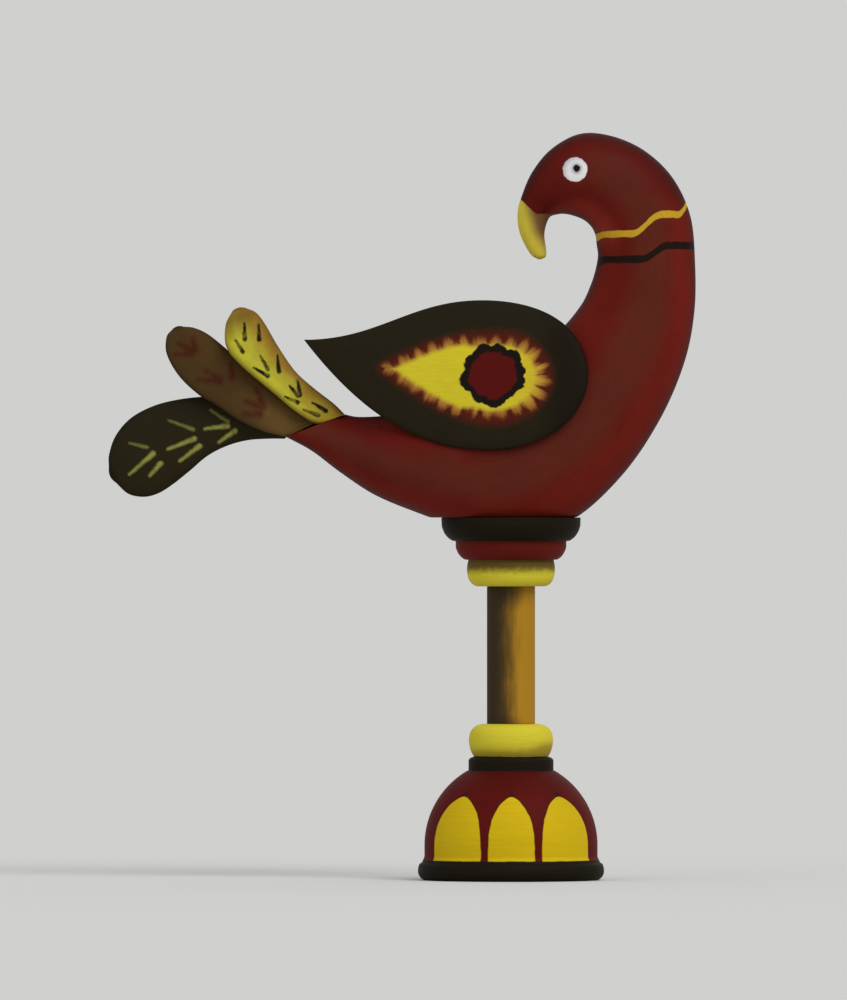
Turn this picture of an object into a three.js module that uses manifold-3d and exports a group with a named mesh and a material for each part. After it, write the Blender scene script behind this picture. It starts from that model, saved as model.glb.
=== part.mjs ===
// A carved and painted folk bird on a turned wooden pedestal, 240 mm tall.
// Millimetres, +Z up. The origin is the centre of the pedestal's underside. The bird stands in profile in
// the XZ plane, the same on both sides: its breast is towards +X, and its tail and the beak of its
// turned-back head point towards -X.
import * as THREE from "three";
import { mergeVertices } from "three/addons/utils/BufferGeometryUtils.js";
import Module from "manifold-3d";

const wasm = await Module();
wasm.setup();

// Pedestal: heights of its joints above the ground, and the radius of each turned member
const footHeight = 5.5;
const domeTop = 35;
const baseTop = 50;
const postTop = 94;
const seatHeight = 116;
const footRadius = 29.8;
const domeRadius = 27.7;
const domeShoulder = 11.2; // the dome's wall is upright to here
const domeNeckRadius = 14;
const collarRadius = 13.6;
const collarTop = 39.5;
const beadRadius = 13.5;
const postRadius = 7.7;
const cupRadius = 14.1;
const cupTop = 102.5;
const ringRadius = 17.7;
const ringTop = 108.5;
const discRadius = 22.3;
const turnedSides = 36;

// Body: each station joins a point on the outer edge (crown, breast, belly) to one on the inner edge (throat,
// nape, back), with half the thickness there and how square the section is. They run from beak to tail.
const bodyStations = [
  { outer: [8.6, 198.6], inner: [9.7, 198.6], half: 0.9, square: 2.0 },
  { outer: [6.0, 200.6], inner: [11.3, 200.2], half: 2.2, square: 2.0 },
  { outer: [2.8, 207.0], inner: [10.7, 206.8], half: 3.6, square: 2.0 },
  { outer: [2.1, 213.4], inner: [12.2, 211.8], half: 4.8, square: 2.0 },
  { outer: [3.4, 218.8], inner: [14.9, 213.0], half: 6.4, square: 2.1 },
  { outer: [6.8, 226.6], inner: [17.6, 213.1], half: 9.6, square: 2.2 },
  { outer: [13.0, 234.0], inner: [20.8, 212.3], half: 11.9, square: 2.2 },
  { outer: [22.2, 238.8], inner: [23.6, 211.0], half: 13.0, square: 2.2 },
  { outer: [32.5, 238.0], inner: [25.8, 208.9], half: 13.4, square: 2.2 },
  { outer: [43.0, 233.2], inner: [27.0, 206.3], half: 13.6, square: 2.2 },
  { outer: [51.8, 224.6], inner: [27.4, 203.2], half: 13.7, square: 2.2 },
  { outer: [57.4, 212.5], inner: [27.8, 199.8], half: 13.9, square: 2.2 },
  { outer: [58.9, 197.8], inner: [27.1, 195.6], half: 14.3, square: 2.3 },
  { outer: [58.7, 182.0], inner: [25.6, 190.7], half: 15.3, square: 2.4 },
  { outer: [55.6, 166.0], inner: [22.6, 184.3], half: 16.9, square: 2.5 },
  { outer: [48.0, 148.0], inner: [16.6, 176.8], half: 18.9, square: 2.6 },
  { outer: [35.8, 129.8], inner: [7.7, 168.3], half: 20.9, square: 2.7 },
  { outer: [19.5, 115.2], inner: [-3.5, 160.0], half: 22.0, square: 2.8 },
  { outer: [1.3, 110.4], inner: [-15.0, 154.2], half: 22.4, square: 2.8 },
  { outer: [-16.3, 113.0], inner: [-26.2, 150.7], half: 21.8, square: 2.7 },
  { outer: [-31.2, 118.0], inner: [-34.6, 149.1], half: 19.8, square: 2.6 },
  { outer: [-43.9, 123.4], inner: [-41.0, 148.5], half: 16.6, square: 2.5 },
  { outer: [-54.7, 130.5], inner: [-46.1, 148.2], half: 12.9, square: 2.4 },
  { outer: [-63.6, 137.2], inner: [-49.9, 148.3], half: 9.7, square: 2.4 },
  { outer: [-72.0, 141.8], inner: [-53.1, 149.0], half: 7.5, square: 2.4 },
];
const bodyAround = 24;
const bodyAlong = 52;

// Wings: a teardrop plate on each flank, leaning in towards its top edge and towards its tip behind
const wingHeart = [-5.4, 161.3]; // the middle of the rounded end
const wingTip = [-66.2, 172.8];
const wingTop = [-9.4, 185.4];
const wingFront = [24.4, 161.0];
const wingBottom = [-7.5, 137.4];
const wingOffset = 18; // from the bird's middle plane to the wing's, at its heart
const wingLean = 0.22;
const wingToeIn = 0.1;
const wingInnerBulge = 3.6;
const wingOuterBulge = 3.4;
const wingTipThinness = 0.4; // share of the thickness left at the tip
const wingEdge = 3.2; // how square the edge is
const wingAround = 40;
const wingRings = 4;

// Tail: three slips, one against the next, that stand on the sloping end of the body. Each station joins a
// point on a feather's upper edge to one on its lower edge, from the root to the tip.
const featherThickness = 4.4;
const featherAround = 12;
const featherAlong = 20;
const fitGap = 0.3; // between pieces that are fitted to each other
const tailFeathers = {
  tail_feather_yellow: {
    layer: -1,
    colour: 0xb59a2c,
    stations: [
      { upper: [-53.2, 149.0], lower: [-56.6, 146.4] },
      { upper: [-56.8, 152.5], lower: [-62.2, 145.8] },
      { upper: [-63.1, 157.4], lower: [-68.6, 149.6] },
      { upper: [-69.1, 162.9], lower: [-76.5, 156.2] },
      { upper: [-74.6, 170.9], lower: [-85.8, 164.0] },
      { upper: [-78.7, 177.6], lower: [-90.9, 170.2] },
      { upper: [-82.0, 181.6], lower: [-91.3, 177.3] },
      { upper: [-85.8, 183.1], lower: [-88.8, 182.4] },
    ],
  },
  tail_feather_brown: {
    layer: 0,
    colour: 0x5c3f22,
    stations: [
      { upper: [-60.6, 147.2], lower: [-72.0, 141.8] },
      { upper: [-67.5, 150.1], lower: [-79.7, 143.7] },
      { upper: [-74.2, 155.2], lower: [-87.4, 147.2] },
      { upper: [-81.1, 161.1], lower: [-94.1, 151.7] },
      { upper: [-87.2, 166.4], lower: [-100.5, 155.7] },
      { upper: [-92.4, 170.8], lower: [-106.5, 161.6] },
      { upper: [-97.2, 174.6], lower: [-110.2, 168.4] },
      { upper: [-102.1, 176.5], lower: [-109.9, 174.0] },
      { upper: [-105.5, 176.9], lower: [-107.9, 176.1] },
    ],
  },
  tail_feather_black: {
    layer: 1,
    colour: 0x2a2518,
    stations: [
      { upper: [-58.0, 146.4], lower: [-72.0, 141.2] },
      { upper: [-66.0, 150.6], lower: [-77.8, 141.2] },
      { upper: [-76.5, 153.4], lower: [-84.5, 140.7] },
      { upper: [-87.0, 154.6], lower: [-91.0, 138.9] },
      { upper: [-97.0, 154.8], lower: [-97.2, 135.7] },
      { upper: [-106.5, 153.8], lower: [-102.9, 130.9] },
      { upper: [-114.6, 151.7], lower: [-108.3, 126.6] },
      { upper: [-121.8, 147.8], lower: [-113.0, 123.7] },
      { upper: [-126.6, 142.2], lower: [-117.6, 122.6] },
      { upper: [-128.7, 136.2], lower: [-122.6, 123.6] },
      { upper: [-128.8, 131.8], lower: [-126.6, 127.2] },
    ],
  },
};

// Turned pieces are profiles of radius and height, drawn upwards from the axis and back to it.
const drawBase = (path) =>
  path
    .moveTo(0, 0)
    .lineTo(footRadius - 2.2, 0)
    .quadraticCurveTo(footRadius - 0.5, 0.4, footRadius, footHeight * 0.45)
    .quadraticCurveTo(footRadius, footHeight, domeRadius + 0.9, footHeight)
    .lineTo(domeRadius, footHeight + 2);

function drawDome(path) {
  const steepness = Math.sqrt(1 - (domeNeckRadius / domeRadius) ** 2);
  const domeRise = (domeTop - domeShoulder) / steepness;
  path.lineTo(domeRadius, domeShoulder);
  path.absellipse(0, domeShoulder, domeRadius, domeRise, 0, Math.asin(steepness));
}

const drawCollarAndBead = (path) =>
  path
    .lineTo(collarRadius, domeTop)
    .lineTo(collarRadius, collarTop - 1.3)
    .quadraticCurveTo(collarRadius, collarTop - 0.4, collarRadius - 1.8, collarTop)
    .quadraticCurveTo(beadRadius - 0.3, collarTop + 1.7, beadRadius, collarTop + 5)
    .quadraticCurveTo(beadRadius, baseTop, beadRadius - 5.5, baseTop)
    .lineTo(0, baseTop);

const drawCapital = (path) =>
  path
    .moveTo(0, postTop)
    .lineTo(cupRadius - 3.2, postTop)
    .quadraticCurveTo(cupRadius - 0.3, postTop + 0.6, cupRadius, postTop + 5)
    .quadraticCurveTo(cupRadius, cupTop - 1.6, cupRadius - 0.5, cupTop)
    .lineTo(cupRadius + 0.6, cupTop)
    .quadraticCurveTo(ringRadius - 0.8, cupTop + 1, ringRadius, cupTop + 4)
    .lineTo(ringRadius, ringTop)
    .lineTo(discRadius - 3.7, ringTop)
    .quadraticCurveTo(discRadius - 0.9, ringTop + 1.3, discRadius - 0.1, seatHeight - 2.6)
    .lineTo(discRadius, seatHeight)
    .lineTo(0, seatHeight);

const drawPost = (path) =>
  path.moveTo(0, baseTop).lineTo(postRadius, baseTop).lineTo(postRadius, postTop).lineTo(0, postTop);

function turned(curveSteps, ...drawings) {
  const path = new THREE.Path();
  drawings.forEach((draw) => draw(path));
  return new THREE.LatheGeometry(path.getPoints(curveSteps), turnedSides).rotateX(Math.PI / 2);
}

// A closed skin over rings of equally many points, each end closed by a fan from its centre
function skinOver(rings) {
  const around = rings[0].length;
  const centreOf = (ring) => ring.reduce((sum, p) => sum.add(p), new THREE.Vector3()).divideScalar(around);
  const points = [...rings.flat(), centreOf(rings[0]), centreOf(rings.at(-1))];
  const firstCentre = points.length - 2;
  const lastCentre = points.length - 1;
  const lastRing = (rings.length - 1) * around;
  const faces = [];
  for (let k = 0; k < around; k++) {
    const next = (k + 1) % around;
    faces.push(firstCentre, next, k, lastCentre, lastRing + k, lastRing + next);
    for (let row = 0; row < lastRing; row += around) {
      faces.push(row + k, row + next, row + around + k);
      faces.push(row + next, row + around + next, row + around + k);
    }
  }
  return new THREE.BufferGeometry().setFromPoints(points).setIndex(faces);
}

const smoothThrough = (points) => new THREE.CatmullRomCurve3(points, false, "catmullrom", 0.5);
const inProfile = ([x, z]) => new THREE.Vector3(x, 0, z);
const rounded = (wave, square) => Math.sign(wave) * Math.abs(wave) ** (2 / square);

// A superellipse in a plane square to the profile, between two points of it
function sectionRing(from, to, half, square, offset, around) {
  const middle = from.clone().add(to).divideScalar(2);
  const reach = from.clone().sub(middle);
  return Array.from({ length: around }, (_, k) => {
    const angle = (2 * Math.PI * k) / around;
    const side = offset + half * rounded(Math.sin(angle), square);
    return middle.clone().addScaledVector(reach, rounded(Math.cos(angle), square)).setY(side);
  });
}

function bodyGeometry() {
  const outer = smoothThrough(bodyStations.map((s) => inProfile(s.outer)));
  const inner = smoothThrough(bodyStations.map((s) => inProfile(s.inner)));
  const girth = smoothThrough(bodyStations.map((s) => new THREE.Vector3(s.half, s.square, 0)));
  const rings = Array.from({ length: bodyAlong + 1 }, (_, row) => {
    const t = row / bodyAlong;
    const { x: half, y: square } = girth.getPoint(t);
    return sectionRing(inner.getPoint(t), outer.getPoint(t), half, square, 0, bodyAround);
  });
  return skinOver(rings);
}

function featherGeometry({ layer, stations }) {
  const upper = smoothThrough(stations.map((s) => inProfile(s.upper)));
  const lower = smoothThrough(stations.map((s) => inProfile(s.lower)));
  const offset = layer * (featherThickness + fitGap);
  const rings = Array.from({ length: featherAlong + 1 }, (_, row) => {
    const t = Math.sin((row / featherAlong) * (Math.PI / 2)); // closer together towards the rounded tip
    const half = (featherThickness / 2) * Math.sqrt(1 - 0.75 * t ** 12);
    return sectionRing(upper.getPoint(t), lower.getPoint(t), half, 2.8, offset, featherAround);
  });
  return skinOver(rings);
}

// The teardrop seen from the side: four curves that meet at the tip, the top, the front and the bottom
function wingOutline() {
  const [tipX, tipZ] = wingTip;
  const [topX, topZ] = wingTop;
  const [frontX, frontZ] = wingFront;
  const [bottomX, bottomZ] = wingBottom;
  return new THREE.Shape()
    .moveTo(tipX, tipZ)
    .bezierCurveTo(tipX + 24, tipZ, topX - 23, topZ, topX, topZ)
    .bezierCurveTo(topX + 20.5, topZ, frontX, frontZ + 15.5, frontX, frontZ)
    .bezierCurveTo(frontX, frontZ - 13, bottomX + 18, bottomZ, bottomX, bottomZ)
    .bezierCurveTo(bottomX - 22.5, bottomZ, tipX + 17.5, tipZ - 22.8, tipX, tipZ)
    .getSpacedPoints(wingAround)
    .slice(0, wingAround);
}

function wingGeometry(side, growth) {
  const [heartX, heartZ] = wingHeart;
  const outline = wingOutline();
  const rings = [];
  for (let ring = -wingRings; ring <= wingRings; ring++) {
    const turn = ((Math.PI / 2) * (wingRings + 1 - Math.abs(ring))) / (wingRings + 1);
    const spread = Math.sin(turn) ** (2 / wingEdge);
    const swell = ring === 0 ? 0 : Math.cos(turn) ** (2 / wingEdge);
    const bulge = ring < 0 ? wingOuterBulge + growth : -(wingInnerBulge + growth);
    rings.push(
      outline.map(({ x: edgeX, y: edgeZ }) => {
        const reach = Math.hypot(edgeX - heartX, edgeZ - heartZ);
        const share = spread * (1 + growth / reach);
        const x = heartX + share * (edgeX - heartX);
        const z = heartZ + share * (edgeZ - heartZ);
        const behind = THREE.MathUtils.smoothstep(heartX - x, 12, heartX - wingTip[0]);
        const thinned = 1 - behind * (1 - wingTipThinness);
        const plane = wingOffset + wingToeIn * (x - heartX) - wingLean * (z - heartZ);
        return new THREE.Vector3(x, side * (plane + bulge * swell * thinned), z);
      }),
    );
  }
  return skinOver(side > 0 ? rings.reverse() : rings);
}

// Solids for cutting and joining, and back again
function toSolid(geometry) {
  const bare = geometry.clone();
  bare.deleteAttribute("normal");
  bare.deleteAttribute("uv");
  const merged = mergeVertices(bare, 1e-4);
  const vertProperties = new Float32Array(merged.attributes.position.array);
  const triVerts = new Uint32Array(merged.index.array);
  return new wasm.Manifold(new wasm.Mesh({ numProp: 3, vertProperties, triVerts }));
}

function toGeometry(solid) {
  const { vertProperties, triVerts } = solid.getMesh();
  const geometry = new THREE.BufferGeometry();
  geometry.setAttribute("position", new THREE.BufferAttribute(vertProperties, 3));
  geometry.setIndex(new THREE.BufferAttribute(triVerts, 1));
  geometry.computeVertexNormals();
  return geometry;
}

// The body is sawn flat where it sits on the pedestal, and each flank is pared away to let its wing in.
function finishedBody() {
  const room = 100;
  const below = new THREE.BoxGeometry(2 * room, room, room).translate(0, 0, seatHeight - room / 2);
  return toSolid(bodyGeometry())
    .subtract(toSolid(below))
    .subtract(toSolid(wingGeometry(-1, fitGap)))
    .subtract(toSolid(wingGeometry(1, fitGap)));
}

// Each feather is cut off along the slope of the body's end, clear of it by the fitting gap.
function finishedFeather(feather) {
  const { outer, inner } = bodyStations.at(-1);
  const slope = Math.atan2(inner[1] - outer[1], inner[0] - outer[0]);
  const room = 60;
  const beyond = new THREE.BoxGeometry(room, room, room)
    .translate(room / 2 - fitGap, 0, fitGap - room / 2)
    .rotateY(-slope)
    .translate(outer[0], 0, outer[1]);
  return toSolid(featherGeometry(feather)).subtract(toSolid(beyond));
}

const figure = new THREE.Group();
figure.name = "bird_on_pedestal";

function addPiece(name, geometry, color, roughness) {
  const mesh = new THREE.Mesh(geometry, new THREE.MeshStandardMaterial({ color, roughness, metalness: 0 }));
  mesh.name = name;
  figure.add(mesh);
}

addPiece("pedestal_base", turned(4, drawBase, drawDome, drawCollarAndBead), 0x57150f, 0.5);
addPiece("pedestal_post", turned(1, drawPost), 0x9a7424, 0.55);
addPiece("pedestal_capital", turned(3, drawCapital), 0x241f15, 0.5);
addPiece("bird_body", toGeometry(finishedBody()), 0x5e1912, 0.5);
addPiece("wing_left", wingGeometry(-1, 0), 0x2b2518, 0.5);
addPiece("wing_right", wingGeometry(1, 0), 0x2b2518, 0.5);
for (const [name, feather] of Object.entries(tailFeathers)) {
  addPiece(name, toGeometry(finishedFeather(feather)), feather.colour, 0.5);
}

export default figure;
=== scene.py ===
import math
from functools import partialmethod

import bpy
import numpy as np
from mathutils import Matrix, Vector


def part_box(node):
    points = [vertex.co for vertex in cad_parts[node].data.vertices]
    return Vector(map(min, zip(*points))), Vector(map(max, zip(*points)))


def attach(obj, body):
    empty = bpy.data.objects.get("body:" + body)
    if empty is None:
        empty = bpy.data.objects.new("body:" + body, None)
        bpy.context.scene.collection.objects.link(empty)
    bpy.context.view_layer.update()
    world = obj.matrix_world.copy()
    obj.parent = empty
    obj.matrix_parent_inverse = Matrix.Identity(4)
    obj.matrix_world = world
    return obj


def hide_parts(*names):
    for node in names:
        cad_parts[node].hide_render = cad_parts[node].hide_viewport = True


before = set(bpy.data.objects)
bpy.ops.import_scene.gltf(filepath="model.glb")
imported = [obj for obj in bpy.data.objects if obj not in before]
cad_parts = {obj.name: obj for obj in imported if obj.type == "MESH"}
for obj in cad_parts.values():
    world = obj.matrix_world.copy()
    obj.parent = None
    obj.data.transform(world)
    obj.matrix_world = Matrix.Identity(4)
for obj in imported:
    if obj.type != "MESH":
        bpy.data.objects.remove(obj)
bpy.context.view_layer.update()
print("stage: frame loaded")

mm = 0.001
creaseAngle = 35  # degrees; what turns more sharply shows as an edge


def inScene(name, data):
    thing = bpy.data.objects.new(name, data)
    bpy.context.scene.collection.objects.link(thing)
    return thing


# Camera

view = {
    "lens": 600,  # very long, because the view is square on
    "sensor": 36,  # along the picture's height
    "seenHeight": 0.320,  # of the plane through the bird's middle
    "aim": (-0.0280, 0.0, 0.1216),  # what lies at the picture's centre
}

cameraData = bpy.data.cameras.new("camera")
cameraData.lens = view["lens"]
cameraData.sensor_width = view["sensor"]
camera = inScene("camera", cameraData)
aimX, aimY, aimZ = view["aim"]
camera.location = (aimX, aimY - view["seenHeight"] * view["lens"] / view["sensor"], aimZ)
camera.rotation_euler = (math.pi / 2, 0, 0)
bpy.context.scene.camera = camera


# Curves and grids, worked out as whole arrays

def throughPoints(points, t):
    # a smooth line through the points at t from 0 to 1: on each stretch a cubic whose slope at a point is
    # half the step between that point's neighbours, with the end stretches carried straight on
    points = np.asarray(points, float)
    last = len(points) - 1
    carried = np.vstack([2 * points[0] - points[1], points, 2 * points[-1] - points[-2]])
    place = np.clip(t, 0, 1) * last
    k = np.minimum(place.astype(int), last - 1)
    f = (place - k)[:, None]
    a, b, c, d = (carried[k + shift] for shift in range(4))
    return 0.5 * (2 * b + (c - a) * f + (2 * a - 5 * b + 4 * c - d) * f**2 + (3 * b - a - 3 * c + d) * f**3)


def bezier(start, controlA, controlB, end, steps):
    # a cubic from start to end, pulled towards its two controls; its last point is left to the next curve
    t = np.linspace(0, 1, steps, endpoint=False)[:, None]
    return (
        (1 - t) ** 3 * start + 3 * (1 - t) ** 2 * t * controlA + 3 * (1 - t) * t**2 * controlB + t**3 * end
    )


def smoothStep(x, low, high):
    # 0 up to low, 1 from high on, and 3s^2 - 2s^3 between them
    s = np.clip((x - low) / (high - low), 0, 1)
    return s * s * (3 - 2 * s)


def squareRound(angle, square):
    # where each direction meets |x|^square + |y|^square = 1: 2 gives a circle, more gives a squarer section
    x, y = np.cos(angle), np.sin(angle)
    reach = (np.abs(x) ** square + np.abs(y) ** square) ** (-1 / square)
    return x * reach, y * reach


def lengthAlong(points):
    # how far each point is from the first, walked from point to point
    return np.cumsum(np.hypot(*np.diff(points, axis=0, prepend=points[:1]).T))


def pointsAt(distances, points):
    # the places that lie at these distances along the straight stretches between the points
    walked = lengthAlong(points)
    return np.stack([np.interp(distances, walked, points[:, k]) for k in (0, 1)], axis=-1)


def sectionsBetween(first, second, around, square):
    # at each station a squarish round from the first line's point to the second's: x and z are the middle of
    # the two points plus across times half the step between them; across goes from -1 to 1, and so does
    # sideways, at right angles to it. Also half the width and the length along the middles.
    angle = np.linspace(0, 2 * np.pi, around, endpoint=False)[None, :]
    across, sideways = squareRound(angle, square)
    middle, reach = (first + second) / 2, (second - first) / 2
    x = middle[:, :1] + across * reach[:, :1]
    z = middle[:, 1:] + across * reach[:, 1:]
    return x, z, across, sideways, np.hypot(*reach.T)[:, None], lengthAlong(middle)[:, None]


def handUnevenness(x, y, z, size):
    # the slight waviness a knife leaves: sines of different lengths and directions, added up to -1 to 1
    return (
        np.sin(x / size + 0.7 * np.sin(z / (1.7 * size)))
        + np.sin(z / (0.83 * size) + 1.3 * np.sin(y / (1.2 * size)) + 2.1)
        + np.sin((x + z) / (1.37 * size) + y / size + 4.0)
    ) / 3


def closedSkin(name, rows, material, node, marks=None):
    # a closed mesh over rows of points that run round the piece; the first and last rows are closed by fans
    # from their centres. marks are values or vectors for each point, which the materials read.
    rowCount, around = rows.shape[:2]
    centres = rows[[0, -1]].mean(axis=1)
    points = np.vstack([rows.reshape(-1, 3), centres])
    index = np.arange(rowCount * around).reshape(rowCount, around)
    beside = np.roll(index, -1, axis=1)
    quads = np.stack([index[:-1], beside[:-1], beside[1:], index[1:]], axis=-1).reshape(-1, 4)
    first = np.stack([np.full(around, len(points) - 2), beside[0], index[0]], axis=-1)
    last = np.stack([np.full(around, len(points) - 1), index[-1], beside[-1]], axis=-1)
    mesh = bpy.data.meshes.new(name)
    mesh.from_pydata((points * mm).tolist(), [], quads.tolist() + first.tolist() + last.tolist())
    for markName, values in (marks or {}).items():
        flat = values.reshape(rowCount * around, -1)
        ends = values[[0, -1]].reshape(2, around, -1).mean(axis=1)
        flat = np.vstack([flat, ends]).astype(np.float32)
        isVector = flat.shape[1] == 3
        layer = mesh.attributes.new(markName, "FLOAT_VECTOR" if isVector else "FLOAT", "POINT")
        layer.data.foreach_set("vector" if isVector else "value", flat.ravel())
    mesh.shade_smooth()
    mesh.set_sharp_from_angle(angle=math.radians(creaseAngle))
    mesh.materials.append(material)
    piece = inScene(name, mesh)
    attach(piece, "root")
    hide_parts(node)
    print("stage:", name, "made,", 2 * len(quads) + 2 * around, "triangles")


# Paint

# in the settings a shake's pair says how fine and how far it is, an edge's pair where it lies and how soft it
# is, and other pairs where a tone begins and where it is full; a shade is a shake, such a pair and a strength
coat = {
    "ior": 1.11,  # low, as old oil paint has little shine
    "roughness": 0.56,
    "gritScale": 2.6,
    "patchScale": 0.055,
    "bristleGloss": 0.16,  # how much the bristles and the grit change the roughness
    "gritGloss": 0.10,
    "bristleRelief": 0.7,  # the bristles' share of the relief, of which the grit is the rest
    "shakes": ((0.9, 0.6), (0.7, 0.6)),  # of a brush stroke, along x and along z
}


def plug(tree, node, values):
    # fields and sockets are linked to the node's inputs, and constants are set on them
    for key, value in values.items():
        value = value.socket if isinstance(value, Field) else value
        if isinstance(value, bpy.types.NodeSocket):
            tree.links.new(value, node.inputs[key])
        else:
            node.inputs[key].default_value = value


def addNode(tree, kind, *values, **settings):
    # a shader node with these settings, and with fields, sockets or constants in its first inputs
    node = tree.nodes.new("ShaderNode" + kind)
    for name, setting in settings.items():
        setattr(node, name, setting)
    plug(tree, node, dict(enumerate(values)))
    return node


class Field:
    # a number that varies over a surface, worked out by shader nodes and written like plain arithmetic
    def __init__(self, tree, socket):
        self.tree = tree
        self.socket = socket

    def apply(self, operation, *others, clamp=False):
        node = addNode(self.tree, "Math", self, *others, operation=operation, use_clamp=clamp)
        return Field(self.tree, node.outputs[0])

    __add__ = __radd__ = partialmethod(apply, "ADD")
    __sub__ = partialmethod(apply, "SUBTRACT")
    __rsub__ = partialmethod(apply, "MULTIPLY_ADD", -1.0)
    __mul__ = __rmul__ = partialmethod(apply, "MULTIPLY")
    __truediv__ = partialmethod(apply, "DIVIDE")
    __pow__ = partialmethod(apply, "POWER")
    __abs__ = partialmethod(apply, "ABSOLUTE")
    least = partialmethod(apply, "MINIMUM")
    most = partialmethod(apply, "MAXIMUM")

    def ramp(self, low, high):
        # 0 at low and 1 at high, with soft ends; low may be the larger
        node = addNode(self.tree, "MapRange", self, low, high, interpolation_type="SMOOTHSTEP")
        return Field(self.tree, node.outputs[0])

    def under(self, limit, softness):
        # 1 where the field is less than the limit, with an edge as soft as a brush leaves it
        return ((limit - self) / (2 * softness)).apply("ADD", 0.5, clamp=True)


def screenColour(*shown):
    # from 0 to 255 as a screen shows it, to the linear values that the shader takes
    c = np.array(shown) / 255
    linear = np.where(c <= 0.04045, c / 12.92, ((c + 0.055) / 1.055) ** 2.4)
    return (*linear.tolist(), 1.0)


class Paint:
    # one painted finish: a principled shader, and the places and noises that its pattern is worked out from
    def __init__(self, name, ground):
        self.material = bpy.data.materials.new(name)
        self.material.use_nodes = True
        self.tree = self.material.node_tree
        self.shader = self.tree.nodes["Principled BSDF"]
        self.colour = screenColour(*ground)
        place = addNode(self.tree, "TexCoord").outputs["Object"]
        self.place = self.scaled(place, 1 / mm)
        self.x, self.y, self.z = self.parts(self.place)

    def vector(self, operation, *values):
        node = addNode(self.tree, "VectorMath", *values, operation=operation)
        return node.outputs["Value" if operation in ("DISTANCE", "DOT_PRODUCT") else "Vector"]

    def scaled(self, vector, scale):
        node = addNode(self.tree, "VectorMath", vector, operation="SCALE")
        plug(self.tree, node, {"Scale": scale})
        return node.outputs["Vector"]

    def parts(self, vector):
        return [Field(self.tree, socket) for socket in addNode(self.tree, "SeparateXYZ", vector).outputs]

    def together(self, x, y, z):
        return addNode(self.tree, "CombineXYZ", x, y, z).outputs[0]

    def mark(self, name, output="Vector"):
        # what the mesh carries for each of its points
        return addNode(self.tree, "Attribute", attribute_name=name).outputs[output]

    def measure(self, name):
        return Field(self.tree, self.mark(name, "Fac"))

    def noise(self, vector, scale=1.0, detail=2.0, roughness=0.5):
        # soft clouds between 0 and 1; the larger the scale, the finer they are
        node = addNode(self.tree, "TexNoise", vector)
        plug(self.tree, node, {"Scale": scale, "Detail": detail, "Roughness": roughness})
        return Field(self.tree, node.outputs[0])

    def shake(self, scale, size, place=None):
        # soft noise round 0, as a hand is unsteady
        return (self.noise(self.place if place is None else place, scale) - 0.5) * size

    def shade(self, level, shake, tone, amount):
        # a tone that comes up along the level, with an uneven border
        return (level + self.shake(*shake)).ramp(*tone) * amount

    def away(self, centre):
        # how far a point is from a centre, seen from the side: along x, along z, and in a straight line
        x, z = self.x - centre[0], self.z - centre[1]
        return x, z, (x * x + z * z) ** 0.5

    def mix(self, blend, amount, below, above):
        node = addNode(self.tree, "Mix", amount, data_type="RGBA", blend_type=blend)
        plug(self.tree, node, {6: below, 7: above})  # a mix of colours has these inputs and output 2
        return node.outputs[2]

    def lay(self, colour, where):
        # brushes a colour over what is there already
        self.colour = self.mix("MIX", where, self.colour, screenColour(*colour))

    def unsteadyPlace(self):
        # the place seen from the side, shifted a little here and there as an unsteady hand does
        alongX, alongZ = (self.shake(*shake) for shake in coat["shakes"])
        return self.together(self.x + alongX, 0.0, self.z + alongZ)

    def stroke(self, place, rootX, rootZ, tipX, tipZ, width):
        # how far a point is outside one tapering brush stroke in the XZ plane: its distance to the line from
        # root to tip, less the stroke's half width, which shrinks to half at the tip
        run = (tipX - rootX, 0.0, tipZ - rootZ)
        fromRoot = self.vector("SUBTRACT", place, (rootX, 0.0, rootZ))
        along = Field(self.tree, self.vector("DOT_PRODUCT", fromRoot, run))
        along = along.apply("DIVIDE", run[0] ** 2 + run[2] ** 2, clamp=True)
        nearest = self.scaled(run, along)
        away = Field(self.tree, self.vector("DISTANCE", fromRoot, nearest))
        return away - (1 - along * 0.5) * (width / 2)

    def strokes(self, place, ends, width):
        # how far a point is outside the nearest of the strokes
        outside = self.stroke(place, *ends[0], width)
        for more in ends[1:]:
            outside = outside.least(self.stroke(place, *more, width))
        return outside

    def finish(self, grain, settings):
        # brush marks along the grain, in the colour, the gloss and the relief, and a fine grit in the paint
        bristles = self.noise(self.vector("MULTIPLY", grain, settings["bristle"]), 1.0, 3.0, 0.6)
        grit = self.noise(self.place, coat["gritScale"], 3.0, 0.65)
        patches = self.noise(self.place, coat["patchScale"])
        shade = bristles * settings["streaks"] + patches * settings["patches"]
        level = shade + (1 - (settings["streaks"] + settings["patches"]) / 2)
        shaded = self.mix("MULTIPLY", 1.0, self.colour, self.together(level, level, level))
        evenGloss = coat["roughness"] - (coat["bristleGloss"] + coat["gritGloss"]) / 2
        gloss = bristles * coat["bristleGloss"] + grit * coat["gritGloss"] + evenGloss
        height = bristles * coat["bristleRelief"] + grit * (1 - coat["bristleRelief"])
        relief = addNode(self.tree, "Bump")
        plug(self.tree, relief, {"Strength": 1.0, "Distance": settings["relief"] * mm, "Height": height})
        look = {"Base Color": shaded, "Roughness": gloss, "IOR": coat["ior"], "Normal": relief.outputs[0]}
        plug(self.tree, self.shader, look)
        return self.material


# Body

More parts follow.
